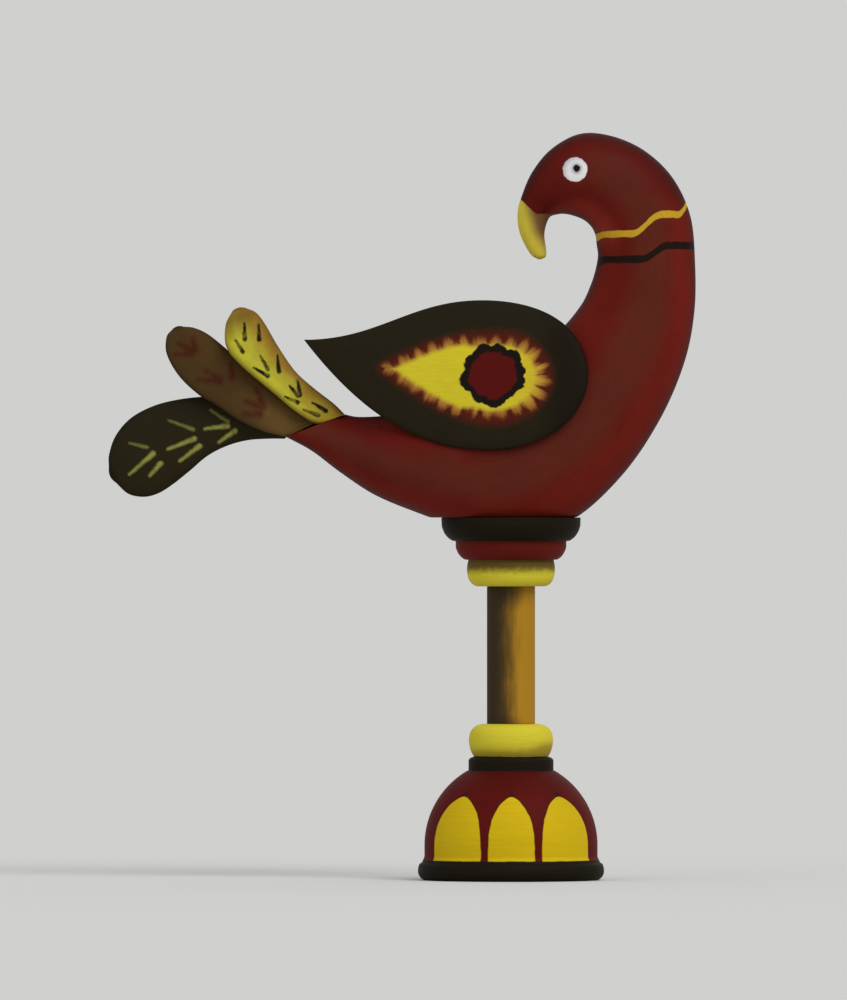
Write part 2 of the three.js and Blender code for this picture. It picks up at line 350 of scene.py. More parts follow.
body = {
    "around": 216, "along": 410,
    "seat": 116.0,  # the flat underside that stands on the pedestal
    "uneven": 0.16,  # the knife's waviness
    "unevenSize": 3.4,
    "evenEnds": (0.08, 0.03),  # the shares of the length at the beak and at the tail where it fades
    "flankDepth": 1.0,  # how far inside a wing's middle plane the flank is still fitted to the wing
    "wingEdgeReach": 0.42,  # flank points this near a wing's outline move onto it
    "dipShare": 1.12,  # how far out of the wing's outline the flank dips, as a share of the wing's reach
    "dipRise": 3.0,
    # the brighter reds are painted light, the deep red is painted shade, and the brown is painted shading
    # along the flank
    "red": (88, 20, 14), "paintedLightRed": (114, 31, 22), "cheekLightRed": (134, 45, 35), "shadeRed": (37, 9, 6),
    "brown": (84, 32, 22), "yellow": (180, 143, 36), "black": (28, 17, 12),
    "clouds": (0.05, 3.0, 0.6),  # they move the borders of the reds
    # across is -1 at the outer edge and 1 at the inner
    # painted shading of the round flank: brown along the middle of the side
    "flankShading": {
        "middle": -0.15, "clouds": 0.7, "across": (0.62, 0.12),
        "behind": (14.0, 32.0), "belowEdge": (200.0, 3.0),
    },
    # the crown, with painted shade along the head's top edge
    "crown": {"across": (0.1, -0.3), "height": (210.0, 222.0), "rim": (-0.5, -1.0), "amount": 0.3},
    # painted light: a brighter red towards both edges of the side
    "edgeLight": {"middle": 0.08, "clouds": 0.4, "across": (0.42, 0.88), "amount": 0.5},
    # painted light on the cheek's underside
    "cheekLight": {"across": (0.35, 0.85), "height": (200.0, 207.0), "amount": 0.8},
    # painted shade: a deep red along the outline as seen from the side, fading inwards
    "rim": {"fade": 0.8, "crownFade": 0.5, "amount": 0.86},  # fade is for each millimetre
    "upperBand": {"low": 206.5, "high": 212.8, "start": 38.2, "end": 48.4, "half": 1.1},
    "lowerBand": {"low": 198.4, "high": 202.9, "start": 41.2, "end": 50.4, "half": 1.2},
    "bands": {
        "shake": (0.25, 0.9), "soft": 0.14, "frontEdge": (24.0, 0.2), "nape": 53.0, "rise": 0.35,
        "throat": 30.0, "drop": 0.22, "mostDrop": 0.9, "widening": 0.5,
    },
    "eye": {
        "centre": (20.4, 227.1), "edge": (3.9, 0.12), "shake": (0.8, 0.7),
        "shine": (21.2, 226.2),  # where it is whitest
        "dull": (2.6, 5.2), "dullAmount": 0.6,  # from the shine
        "pupil": (20.9, 227.5), "pupilEdge": (1.15, 0.2),
        "ring": (2.4, 1.3), "ringAmount": 0.55,  # the grey round the pupil
        "white": (214, 212, 212), "grey": (128, 134, 144),
    },
    "beak": {
        "level": 213.0,  # its edge on the face, which climbs in front of the bend
        "bend": 8.2, "rise": 0.6876, "risePower": 1.2,
        "shake": (0.5, 0.5), "soft": 0.15, "backEdge": (14.2, 0.2), "lowEdge": (192.0, 0.2),
        "shadeAcross": (3.0, 8.2), "shadeHeight": (197.5, 209.0), "shadeLean": 0.30, "shadeAmount": 0.96,
        "yellow": (202, 184, 62), "brown": (114, 78, 52),
    },
    "finish": {"bristle": (0.09, 1.5, 1.5), "streaks": 0.30, "patches": 0.3, "relief": 0.09},
}

# outer x and z, inner x and z, half the thickness, squareness: from the tip of the beak to the tail
bodyStations = np.array([
    [8.6, 198.6, 9.7, 198.6, 0.9, 2.0], [6.0, 200.6, 11.3, 200.2, 2.2, 2.0],
    [2.8, 207.0, 10.7, 206.8, 3.6, 2.0], [2.1, 213.4, 12.2, 211.8, 4.8, 2.0],
    [3.4, 218.8, 14.9, 213.0, 6.4, 2.1], [6.8, 226.6, 17.6, 213.1, 9.6, 2.2],
    [13.0, 234.0, 20.8, 212.3, 11.9, 2.2], [22.2, 238.8, 23.6, 211.0, 13.0, 2.2],
    [32.5, 238.0, 25.8, 208.9, 13.4, 2.2], [43.0, 233.2, 27.0, 206.3, 13.6, 2.2],
    [51.8, 224.6, 27.4, 203.2, 13.7, 2.2], [57.4, 212.5, 27.8, 199.8, 13.9, 2.2],
    [58.9, 197.8, 27.1, 195.6, 14.3, 2.3], [58.7, 182.0, 25.6, 190.7, 15.3, 2.4],
    [55.6, 166.0, 22.6, 184.3, 16.9, 2.5], [48.0, 148.0, 16.6, 176.8, 18.9, 2.6],
    [35.8, 129.8, 7.7, 168.3, 20.9, 2.7], [19.5, 115.2, -3.5, 160.0, 22.0, 2.8],
    [1.3, 110.4, -15.0, 154.2, 22.4, 2.8], [-16.3, 113.0, -26.2, 150.7, 21.8, 2.7],
    [-31.2, 118.0, -34.6, 149.1, 19.8, 2.6], [-43.9, 123.4, -41.0, 148.5, 16.6, 2.5],
    [-54.7, 130.5, -46.1, 148.2, 12.9, 2.4], [-63.6, 137.2, -49.9, 148.3, 9.7, 2.4],
    [-72.0, 141.8, -53.1, 149.0, 7.5, 2.4],
])

# Wings: each a teardrop plate let into the flank, with a flame drop and a flower painted on it

wing = {
    "around": 300, "rings": 56,
    "heart": (-5.4, 161.3),  # the middle of the rounded end
    "outline": {
        "tip": (-66.2, 172.8), "top": (-9.4, 185.4), "front": (24.4, 161.0), "bottom": (-7.5, 137.4),
        "pulls": ((24, 0), 23, 20.5, 15.5, 13, 18, 22.5, (17.5, -22.8)),
        "steps": 160,
    },
    "offset": 18.0,  # from the bird's middle plane to the wing's, at its heart
    "lean": 0.22, "toeIn": 0.1,
    "innerBulge": 3.6, "outerBulge": 3.4,
    "tipThinness": 0.4,  # the share of the thickness left there
    "thinFrom": 12,  # behind the heart
    "edge": 3.2,  # how square
    "uneven": 0.10, "unevenSize": 2.6,
    "gap": 0.1,  # to the flank
    "ground": (32, 27, 15),
    "innerEdge": (0.0, 0.05),  # of the face towards the bird, which is plain
    "frontBlack": (22, 17, 9), "frontShade": ((0.12, 6.0), (6.0, 18.0), 0.8),
    "drop": {
        "tip": (-42.0, 163.8), "top": (-3.4, 174.7), "front": (12.2, 160.4), "bottom": (-5.5, 146.4),
        "pulls": ((12, 6.2), 15, 8.0, 8.3, 7.6, 8.5, 13, (9, -6.6)),
        "steps": 90,
    },
    "flames": {
        "count": 25,  # round the drop
        "round": (24, 0.12, 24),  # stretches the way round it to millimetres, and squeezes across it
        "reach": 5.2, "reachNoise": (0.22, 1.0), "roundness": 0.95,
        "driftShake": (0.35, 3.0),  # of the way from flame to flame
        "hairShake": (1.5, 1.4),
        "ahead": (0.0, 9.0), "aheadReach": 3.6,  # in front of the flower the flames are longer
        "beside": (12.0, 6.0), "besideMiddle": -5.0,  # above and below it they are shorter
        "layers": (
            # colour; how much of the notches, the hairs, beside and ahead counts as distance outside the
            # drop; the layer's edge at that distance; how strong it is, and how much less of it is ahead
            ((75, 23, 13), (0, 1.2, 0, 0), (1.0, 1.6), 0.88, 0),
            ((106, 57, 24), (1, 1, 1.5, 0), (0.7, 0.8), 0.95, 0),
            ((142, 98, 42), (1, 1, 1.5, 0), (-0.2, 0.8), 1, 0),
            ((172, 138, 40), (1, 1, 1.5, 0), (-1.9, 1.0), 1, 0),
            ((187, 172, 37), (0, 0.5, 1.3, 1.9), (-2.5, 0.8), 1, 0.35),
        ),
    },
    "flower": {
        "centre": (-5.9, 161.2), "reach": 8.9, "soft": 0.2, "shake": (0.8, 1.5),
        "lobes": (
            # the direction in degrees, and the height
            (12, 1.6), (42, 2.3), (78, 1.5), (110, 1.9), (146, 1.5), (190, 2.1), (236, 1.0), (273, 1.5),
            (346, 1.6),
        ),
        "sharpness": 22.0,
        "outline": 2.0,  # where it is thinnest, between two lobes
        "redLobes": 0.5, "redSoft": 0.4, "redShake": (0.6, 1.6),  # the lobes' share in the red inside
        "red": (77, 14, 12), "black": (22, 16, 12),
    },
    "finish": {"bristle": (0.10, 1.4, 1.4), "streaks": 0.26, "patches": 0.22, "relief": 0.09},
}


def teardrop(shape):
    # four cubics that meet at the tip, the top, the front and the bottom; pulls are how far each end of each
    # cubic is drawn, in the order of the outline, and those at the tip have a direction too
    tip, top, front, bottom = (np.array(shape[key]) for key in ("tip", "top", "front", "bottom"))
    tipUp, topBack, topForward, frontUp, frontDown, bottomForward, bottomBack, tipDown = shape["pulls"]
    steps = shape["steps"]
    return np.vstack([
        bezier(tip, tip + tipUp, top - (topBack, 0), top, steps),
        bezier(top, top + (topForward, 0), front + (0, frontUp), front, steps),
        bezier(front, front - (0, frontDown), bottom + (bottomForward, 0), bottom, steps),
        bezier(bottom, bottom - (bottomBack, 0), tip + tipDown, tip, steps),
    ])


def shareOfReach(x, z, heart, outline):
    # how far a point lies from the heart, as a share of the way to the outline in its direction
    edge = outline - heart
    angles = np.arctan2(edge[:, 1], edge[:, 0]) % (2 * np.pi)
    order = np.argsort(angles)
    awayX, awayZ = x - heart[0], z - heart[1]
    heading = np.arctan2(awayZ, awayX) % (2 * np.pi)
    lengths = np.hypot(edge[:, 0], edge[:, 1])
    return np.hypot(awayX, awayZ) / np.interp(heading, angles[order], lengths[order], period=2 * np.pi)


def wingPlane(x, z):
    # the wing's middle plane leans in towards its top and towards its tip
    return wing["offset"] + wing["toeIn"] * (x - wing["heart"][0]) - wing["lean"] * (z - wing["heart"][1])


def wingThinning(x):
    # the plate's share of its full thickness, less and less behind the heart
    heart, tip = wing["heart"][0], wing["outline"]["tip"][0]
    behind = smoothStep(heart - x, wing["thinFrom"], heart - tip)
    return 1 - behind * (1 - wing["tipThinness"])


def wingSwell(share):
    # the height of a superellipse over its foot
    return (1 - np.clip(share, 0, 1) ** wing["edge"]) ** (1 / wing["edge"])


def flameMarks(x, z):
    # for each point, which way round the painted drop its nearest outline point lies, as a cosine and a sine
    # of the share of the whole outline; and between them how far outside the drop it is, or below 0, inside
    outline = teardrop(wing["drop"])
    walked = lengthAlong(np.vstack([outline, outline[:1]]))
    turn = walked[:-1] / walked[-1] * 2 * np.pi
    away = (x[..., None] - outline[:, 0]) ** 2 + (z[..., None] - outline[:, 1]) ** 2
    nearest = away.argmin(axis=-1)
    distance = np.sqrt(away.min(axis=-1))
    inside = shareOfReach(x, z, wing["flower"]["centre"], outline) < 1
    outside = np.where(inside, -distance, distance)
    return np.stack([np.cos(turn[nearest]), outside, np.sin(turn[nearest])], axis=-1)


def makeWing(name, side, material):
    # rings from the heart out to the outline over the outer face, and back in over the inner face
    outline = teardrop(wing["outline"])
    closed = np.vstack([outline, outline[:1]])
    edge = pointsAt(np.linspace(0, lengthAlong(closed)[-1], wing["around"], endpoint=False), closed)
    turn = np.linspace(0, np.pi, 2 * wing["rings"] + 1)[1:-1, None]
    height, spread = squareRound(turn, wing["edge"])
    bulge = np.where(height > 0, wing["outerBulge"], wing["innerBulge"]) * height
    x, z = (wing["heart"][k] + spread * (edge[None, :, k] - wing["heart"][k]) for k in (0, 1))
    wavy = wing["uneven"] * handUnevenness(x, 0 * x, z, wing["unevenSize"]) * np.abs(height)
    y = side * (wingPlane(x, z) + bulge * wingThinning(x) + wavy)
    rows = np.stack([x, y, z], axis=-1)
    places = flameMarks(x, z)
    if side > 0:
        rows, places = rows[:, ::-1], places[:, ::-1]
    marks = {"dropPlace": places, "outerFace": height + 0 * x}
    closedSkin(name + "_carved", rows, material, name, marks)


def wingPaint():
    paint = Paint("wing oil paint", wing["ground"])
    flames, flower = wing["flames"], wing["flower"]
    paint.lay(wing["frontBlack"], paint.shade(paint.x, *wing["frontShade"]))
    dropPlace = paint.mark("dropPlace")
    cosine, outside, sine = paint.parts(dropPlace)
    aroundDrop = paint.vector("MULTIPLY", dropPlace, flames["round"])
    hairs = paint.shake(*flames["hairShake"], aroundDrop)
    # tongues: rounded between sharp notches, as the size of a sine is
    drift = paint.shake(*flames["driftShake"], aroundDrop)
    turn = sine.apply("ARCTAN2", cosine) * (flames["count"] / 2) + drift
    tongues = abs(turn.apply("SINE")) ** flames["roundness"]
    ahead = paint.x.ramp(*flames["ahead"])
    beside = abs(paint.x - flames["besideMiddle"]).ramp(*flames["beside"])
    reach = paint.noise(aroundDrop, *flames["reachNoise"]) * (ahead * flames["aheadReach"] + flames["reach"])
    parts = ((1 - tongues) * reach, hairs, beside, ahead)
    for colour, shares, edge, amount, lessAhead in flames["layers"]:
        distance = sum((part * share for part, share in zip(parts, shares) if share), outside)
        paint.lay(colour, distance.under(*edge) * (1 - ahead * lessAhead) * amount)
    awayX, awayZ, away = paint.away(flower["centre"])
    swell = flowerLobes(awayX, awayZ, away)
    away = away + paint.shake(*flower["shake"])
    paint.lay(flower["black"], away.under(swell + flower["reach"], flower["soft"]))
    inside = swell * flower["redLobes"] + (flower["reach"] - flower["outline"])
    paint.lay(flower["red"], (away + paint.shake(*flower["redShake"])).under(inside, flower["redSoft"]))
    paint.lay(wing["ground"], paint.measure("outerFace").under(*wing["innerEdge"]))
    return paint.finish(paint.place, wing["finish"])


def flowerLobes(awayX, awayZ, away):
    # how far the flower's edge swells past its round heart: the highest of its lobes, each a power of the
    # cosine of the angle to the lobe's own direction
    swell = away * 0.0
    for degrees, height in wing["flower"]["lobes"]:
        turn = math.radians(degrees)
        facing = (awayX * math.cos(turn) + awayZ * math.sin(turn)) / away
        swell = swell.most(facing.most(0.0) ** wing["flower"]["sharpness"] * height)
    return swell


def makeBody(material):
    # sections between an outer and an inner line, each a superellipse in a plane square to the profile
    t = np.linspace(0, 1, body["along"])
    outer, inner, half, square = np.split(throughPoints(bodyStations, t), (2, 4, 5), axis=1)
    x, z, across, sideways, width, along = sectionsBetween(outer, inner, body["around"], square)
    y = half * sideways
    evenBeak, evenTail = body["evenEnds"]
    ends = (smoothStep(t, 0, evenBeak) * smoothStep(1 - t, 0, evenTail))[:, None]
    y = y * (1 + body["uneven"] * handUnevenness(x, y, z, body["unevenSize"]) * ends / half)
    # under each wing the flank is pared back, as the wing is let into it: points beside the wing's outline
    # move onto it, those inside go back to the wing's inner face, and those just outside dip towards it
    heartX, heartZ = wing["heart"]
    share = shareOfReach(x, z, wing["heart"], teardrop(wing["outline"]))
    beside = np.abs(share - 1) * np.hypot(x - heartX, z - heartZ) / share < body["wingEdgeReach"]
    beside &= np.abs(y) > wingPlane(x, z) - body["flankDepth"]
    x = np.where(beside, heartX + (x - heartX) / share, x)
    z = np.where(beside, heartZ + (z - heartZ) / share, z)
    share = np.where(beside, 1, share)
    limit = wingPlane(x, z) - wing["innerBulge"] * wingSwell(share) * wingThinning(x) - wing["gap"]
    limit = limit + body["dipRise"] * smoothStep(share, 1, body["dipShare"])
    y = np.where(share < body["dipShare"], np.sign(y) * np.minimum(np.abs(y), limit), y)
    # and the belly, in the second half of the length, is sawn flat where it stands
    z = np.where(t[:, None] > 0.5, np.maximum(z, body["seat"]), z)
    marks = {
        "grain": np.stack([along + 0 * x, across * width, y], axis=-1),
        # the painted shade along the outline fades with this
        "fromEdge": width * (1 - np.abs(across)),  # as the bird's outline is seen from its side
        "across": across,
    }
    rows = np.stack([x, y, z], axis=-1)
    closedSkin("body_carved", rows, material, "bird_body", marks)


def bodyPaint():
    paint = Paint("body oil paint", body["red"])
    x, z = paint.x, paint.z
    across, fromEdge = paint.measure("across"), paint.measure("fromEdge")
    clouds = paint.noise(paint.place, *body["clouds"]) - 0.5
    flankShading, crown, edgeLight, cheekLight = (body[key] for key in ("flankShading", "crown", "edgeLight", "cheekLight"))
    # painted shading of the round flank: brown along the middle of the side, red towards its edges
    onFlankShading = abs(across - flankShading["middle"] + clouds * flankShading["clouds"]).ramp(*flankShading["across"])
    behindCheek = x.ramp(*flankShading["behind"]).most(z.under(*flankShading["belowEdge"]))
    paint.lay(body["brown"], onFlankShading * behindCheek)
    onCrown = across.ramp(*crown["across"]) * z.ramp(*crown["height"])
    # painted light: a brighter red towards both edges of the side, but not on the crown
    edgeLightShare = (abs(across - edgeLight["middle"]) + clouds * edgeLight["clouds"]).ramp(*edgeLight["across"])
    edgeLightShare = edgeLightShare * (1 - onCrown)
    paint.lay(body["paintedLightRed"], edgeLightShare * edgeLight["amount"])
    # painted light on the cheek's underside
    onCheekLight = across.ramp(*cheekLight["across"]) * z.ramp(*cheekLight["height"])
    paint.lay(body["cheekLightRed"], onCheekLight * cheekLight["amount"])
    # painted shade along the crown's outer edge
    paint.lay(body["shadeRed"], onCrown * across.ramp(*crown["rim"]) * crown["amount"])
    # painted shade: a deep red that fades in from the outline as seen from the side, more slowly on the crown
    rim = body["rim"]
    fade = onCrown * (rim["fade"] - rim["crownFade"]) - rim["fade"]
    paint.lay(body["shadeRed"], (fromEdge * fade).apply("EXPONENT") * rim["amount"])
    # the beak: below a line that drops from the forehead and then runs level
    beak = body["beak"]
    edge = (beak["bend"] - x).most(0.0) ** beak["risePower"] * beak["rise"] + beak["level"]
    onBeak = (z + paint.shake(*beak["shake"])).under(edge, beak["soft"])
    onBeak = onBeak * x.under(*beak["backEdge"]) * (1 - z.under(*beak["lowEdge"]))
    paint.lay(beak["brown"], onBeak)
    shade = (x + (z - beak["level"]) * beak["shadeLean"]).ramp(*beak["shadeAcross"])
    shade = shade * z.ramp(*beak["shadeHeight"]) * beak["shadeAmount"]
    paint.lay(beak["yellow"], onBeak * (1 - shade))
    # the bands: at their ends the upper one climbs on the nape, and both hang down on the throat
    upper, lower, bands = body["upperBand"], body["lowerBand"], body["bands"]
    onNeck = 1 - x.under(*bands["frontEdge"])
    nape = (x - bands["nape"]).most(0.0) ** 2 * bands["rise"]
    throat = ((bands["throat"] - x).most(0.0) ** 2 * bands["drop"]).least(bands["mostDrop"])
    fromUpper = abs(z - (bandLine(paint, upper) + nape - throat))
    paint.lay(body["yellow"], fromUpper.under(upper["half"], bands["soft"]) * onNeck)
    fromLower = abs(z - (bandLine(paint, lower) - throat))
    lowerHalf = throat * bands["widening"] + lower["half"]
    paint.lay(body["black"], fromLower.under(lowerHalf, bands["soft"]) * onNeck)
    eye = body["eye"]
    onEye = eyeDistance(paint, "centre").under(*eye["edge"])
    paint.lay(eye["white"], onEye)
    paint.lay(eye["grey"], eyeDistance(paint, "shine").ramp(*eye["dull"]) * onEye * eye["dullAmount"])
    fromPupil = eyeDistance(paint, "pupil")
    paint.lay(eye["grey"], fromPupil.ramp(*eye["ring"]) * eye["ringAmount"])
    paint.lay(body["black"], fromPupil.under(*eye["pupilEdge"]))
    return paint.finish(paint.mark("grain"), body["finish"])


def bandLine(paint, band):
    # a neck band's height: level, then a rise with softened ends, then level again
    rise = paint.x.ramp(band["start"], band["end"]) * (band["high"] - band["low"])
    return rise + band["low"] + paint.shake(*body["bands"]["shake"])


def eyeDistance(paint, spot):
    # the distance to the middle of one of the eye's spots, made a little uneven
    return paint.away(body["eye"][spot])[2] + paint.shake(*body["eye"]["shake"])


# Tail feathers: each a thin slip between an upper and a lower edge, cut off along the body's sloping end

feather = {
    "around": 72, "along": 170,
    "thickness": 4.4, "square": 2.8,
    "layerGap": 0.3, "rootGap": 0.02,
    "uneven": 0.10, "unevenSize": 2.0,
    "tipBulge": 0.3,  # as a share of half the width that the tip ends in
    "tipRings": 7,
    "tipThinning": 0.75,  # of the square of the thickness, at the tip
    "thinningPower": 12,
    # shares of the length from the tip to the root, or of the width from the lower edge at -1 to the upper
    # one at 1; clouds are how much of the shake moves each of them
    "shake": (0.16, 1.4),
    "rootTone": (0.45, 0.9), "rootClouds": 0.2,
    "upperTone": (-0.35, 0.75), "upperSlant": 0.5, "upperAmount": 0.85,
    # painted light: the low tone brightens the lower side
    "lowLightTone": (0.1, -0.75), "lowClouds": 0.5, "lowToneEnd": (0.7, 1.0), "lowAmount": 0.9,
    # painted shade over the tip and along the edges
    "tipTone": (0.22, 0.03), "tipClouds": 0.08, "edgeClouds": 0.5,
    "wornScale": 0.4, "worn": (0.25, 0.55), "wornAmount": 0.4,  # where the dashes' paint is thinner
    "faintWidth": 0.7,  # of the faint dashes, against the others
    "faintAmount": 0.6,
    "finish": {"bristle": (0.10, 1.6, 1.6), "streaks": 0.30, "patches": 0.2, "relief": 0.09},
}

# painted shade along the edges and over the tip of the brown and black slips
darkEdgeShade = {"edgeReach": 0.9, "edgeAmount": 0.7, "tipAmount": 0.1}
# stations are upper x and z, lower x and z; strokes run from root to tip in x and z
# in each slip the low tone is painted light, and the edge tone and the tip are painted shade
tailFeathers = {
    "tail_feather_yellow": {
        "layer": -1, "ground": (172, 166, 50), "upperTone": (156, 116, 38),
        "lowLightTone": (196, 192, 56), "rootTone": (158, 138, 40), "edgeShadeColour": (104, 73, 29),
        "edgeReach": 0.33, "edgeAmount": 0.92, "tipAmount": 0.85, "dashes": (26, 24, 16),
        "dashAmount": 1.0, "dashSoft": 0.22,
        "stations": [
            [-53.2, 149.0, -56.6, 146.4], [-56.8, 152.5, -62.2, 145.8], [-63.1, 157.4, -68.6, 149.6],
            [-69.1, 162.9, -76.5, 156.2], [-74.6, 170.9, -85.8, 164.0], [-78.6, 177.8, -90.9, 170.2],
            [-81.5, 181.5, -91.3, 177.3], [-84.8, 183.0, -89.2, 181.9],
        ],
        "strokes": [
            [-85.1, 173.0, -85.2, 178.1], [-80.5, 172.9, -80.7, 177.7], [-85.8, 169.0, -88.1, 172.7],
            [-77.8, 163.5, -80.1, 167.6], [-74.2, 162.7, -74.7, 167.7], [-77.8, 161.3, -82.3, 163.9],
            [-67.4, 155.2, -68.3, 160.0], [-68.2, 155.0, -70.8, 158.1], [-68.2, 152.8, -72.2, 154.6],
            [-59.2, 150.1, -63.5, 152.7], [-61.7, 148.7, -66.3, 150.4],
        ],
        "strokeWidth": 1.5,
    },
    "tail_feather_brown": {
        "layer": 0, "ground": (67, 48, 24), "upperTone": (75, 54, 26), "lowLightTone": (70, 51, 27),
        "rootTone": (99, 75, 38), "edgeShadeColour": (40, 29, 16), **darkEdgeShade,
        "dashes": (62, 13, 10), "dashAmount": 0.7, "dashSoft": 0.75,
        "stations": [
            [-60.6, 147.2, -72.0, 141.8], [-67.5, 150.1, -79.7, 143.7], [-74.2, 155.2, -87.4, 147.2],
            [-81.1, 161.1, -94.1, 151.7], [-87.2, 166.4, -100.5, 155.7], [-92.4, 171.1, -106.5, 161.6],
            [-97.2, 174.8, -110.2, 168.4], [-101.4, 176.7, -110.2, 173.8], [-104.8, 177.1, -108.3, 176.3],
        ],
        "strokes": [
            [-101.3, 169.4, -101.8, 173.6], [-102.4, 169.4, -106.4, 171.6], [-102.4, 168.4, -107.4, 168.0],
            [-93.2, 160.0, -97.4, 163.0], [-93.2, 159.6, -100.0, 160.0], [-89.2, 160.8, -89.7, 165.0],
            [-79.4, 152.0, -81.4, 157.0], [-79.6, 151.2, -84.8, 153.2], [-80.2, 149.2, -85.4, 149.1],
        ],
        "strokeWidth": 2.5,
    },
    "tail_feather_black": {
        "layer": 1, "ground": (37, 31, 17), "upperTone": (34, 30, 17), "lowLightTone": (37, 31, 17),
        "rootTone": (41, 36, 19), "edgeShadeColour": (24, 21, 14), **darkEdgeShade,
        "dashes": (132, 135, 64), "dashAmount": 0.92, "dashSoft": 0.42,
        "stations": [
            [-58.0, 146.4, -72.0, 141.2], [-66.0, 150.6, -77.8, 141.2], [-76.5, 153.4, -84.5, 140.7],
            [-87.0, 154.6, -91.0, 138.9], [-97.0, 154.8, -97.2, 135.7], [-106.5, 153.8, -102.9, 130.9],
            [-114.6, 151.7, -108.3, 126.6], [-121.8, 147.8, -113.0, 123.7], [-126.6, 142.2, -117.6, 122.6],
            [-128.7, 136.2, -122.6, 123.6], [-128.8, 131.8, -126.6, 127.2],
        ],
        "strokes": [
            [-114.5, 136.5, -122.1, 129.8], [-112.2, 133.3, -115.6, 129.4], [-101.4, 141.2, -109.8, 137.9],
            [-99.7, 138.9, -106.0, 134.1], [-90.7, 145.3, -98.0, 144.4], [-88.4, 143.7, -93.5, 140.1],
        ],
        "faintStrokes": [
            [-116.6, 138.5, -122.1, 139.8], [-101.8, 144.2, -109.6, 147.1], [-90.6, 146.6, -96.2, 150.4],
        ],
        "strokeWidth": 1.5,
    },
}


def makeFeather(name, style, material):
    # sections between the two edges, closer together towards the rounded tip, where the slip thins
    f = feather
    t = np.sin(np.linspace(0, np.pi / 2, f["along"]))
    upper, lower = np.split(throughPoints(style["stations"], t), 2, axis=1)
    x, z, across, sideways, width, along = sectionsBetween(lower, upper, f["around"], f["square"])
    thin = np.sqrt(1 - f["tipThinning"] * t ** f["thinningPower"])[:, None]
    wavy = f["uneven"] * np.abs(handUnevenness(x, 0 * x + 3, z, f["unevenSize"]))
    layer = style["layer"] * (f["thickness"] + f["layerGap"])
    y = layer + (f["thickness"] / 2 * thin - wavy) * sideways
    # what would reach into the body's end is drawn back to the sloping plane just clear of it
    endOuter, endInner = bodyStations[-1, 0:2], bodyStations[-1, 2:4]
    slope = (endInner - endOuter) / np.hypot(*(endInner - endOuter))
    alongSlope = (x - endOuter[0]) * slope[0] + (z - endOuter[1]) * slope[1]
    above = (z - endOuter[1]) * slope[0] - (x - endOuter[0]) * slope[1]
    lift = np.where(alongSlope > -f["layerGap"], np.maximum(f["rootGap"] - above, 0), 0)
    x, z = x - lift * slope[1], z + lift * slope[0]
    toTip = along[-1] - along
    marks = {
        "grain": np.stack([along + 0 * x, across * width, y], axis=-1),
        "fromEdge": np.minimum(width * (1 - np.abs(across)), toTip),
        "share": np.stack([toTip / along[-1] + 0 * x, across + 0 * x, 0 * x], axis=-1),
    }
    rows = np.stack([x, y, z], axis=-1)
    # the tip is rounded off: past the last section, smaller and smaller ones that bulge outwards
    centre = rows[-1].mean(axis=0)
    reachX, reachZ = (upper[-1] - lower[-1]) / 2
    onward = f["tipBulge"] * np.array([-reachZ, 0, reachX])
    size = np.linspace(1, 0, f["tipRings"] + 2)[1:-1, None, None]
    cap = centre + (rows[-1] - centre) * size + onward * (1 - size**2)
    rows = np.concatenate([rows, cap])
    marks = {key: np.concatenate([mark, mark[-1:].repeat(len(cap), 0)]) for key, mark in marks.items()}
    closedSkin(name + "_carved", rows, material, name, marks)


def featherPaint(name, style):
    f = feather
    paint = Paint(name.replace("_", " ") + " oil paint", style["ground"])
    toTip, across = paint.parts(paint.mark("share"))[:2]
    clouds = paint.shake(*f["shake"])
    paint.lay(style["rootTone"], (toTip + clouds * f["rootClouds"]).ramp(*f["rootTone"]))
    highSide = (across + clouds - toTip * f["upperSlant"]).ramp(*f["upperTone"])
    paint.lay(style["upperTone"], highSide * f["upperAmount"])
    # painted light along the lower side
    lowLitSide = (across + clouds * f["lowClouds"]).ramp(*f["lowLightTone"])
    paint.lay(style["lowLightTone"], lowLitSide * (1 - toTip.ramp(*f["lowToneEnd"])) * f["lowAmount"])
    # painted shade: along the edges a darker tone that dies away inwards, sooner on the lower side, and one
    # that covers the tip
    inwards = paint.measure("fromEdge") * (lowLitSide + 1) * -style["edgeReach"]
    edgeShade = (inwards + clouds * f["edgeClouds"]).apply("EXPONENT") * style["edgeAmount"]
    tipShade = (toTip + clouds * f["tipClouds"]).ramp(*f["tipTone"]) * style["tipAmount"]
    paint.lay(style["edgeShadeColour"], edgeShade.most(tipShade))
    place, soft, width = paint.unsteadyPlace(), style["dashSoft"], style["strokeWidth"]
    dashes = paint.strokes(place, style["strokes"], width).under(0.0, soft)
    if "faintStrokes" in style:
        faint = paint.strokes(place, style["faintStrokes"], width * f["faintWidth"]).under(0.0, soft)
        dashes = dashes.most(faint * f["faintAmount"])
    unworn = paint.noise(paint.place, f["wornScale"]).ramp(*f["worn"])
    thickness = unworn * f["wornAmount"] + (1 - f["wornAmount"])
    paint.lay(style["dashes"], dashes * thickness * style["dashAmount"])
    return paint.finish(paint.mark("grain"), f["finish"])


# Pedestal: profiles of radius and height, with the joints' heights taken from the frame

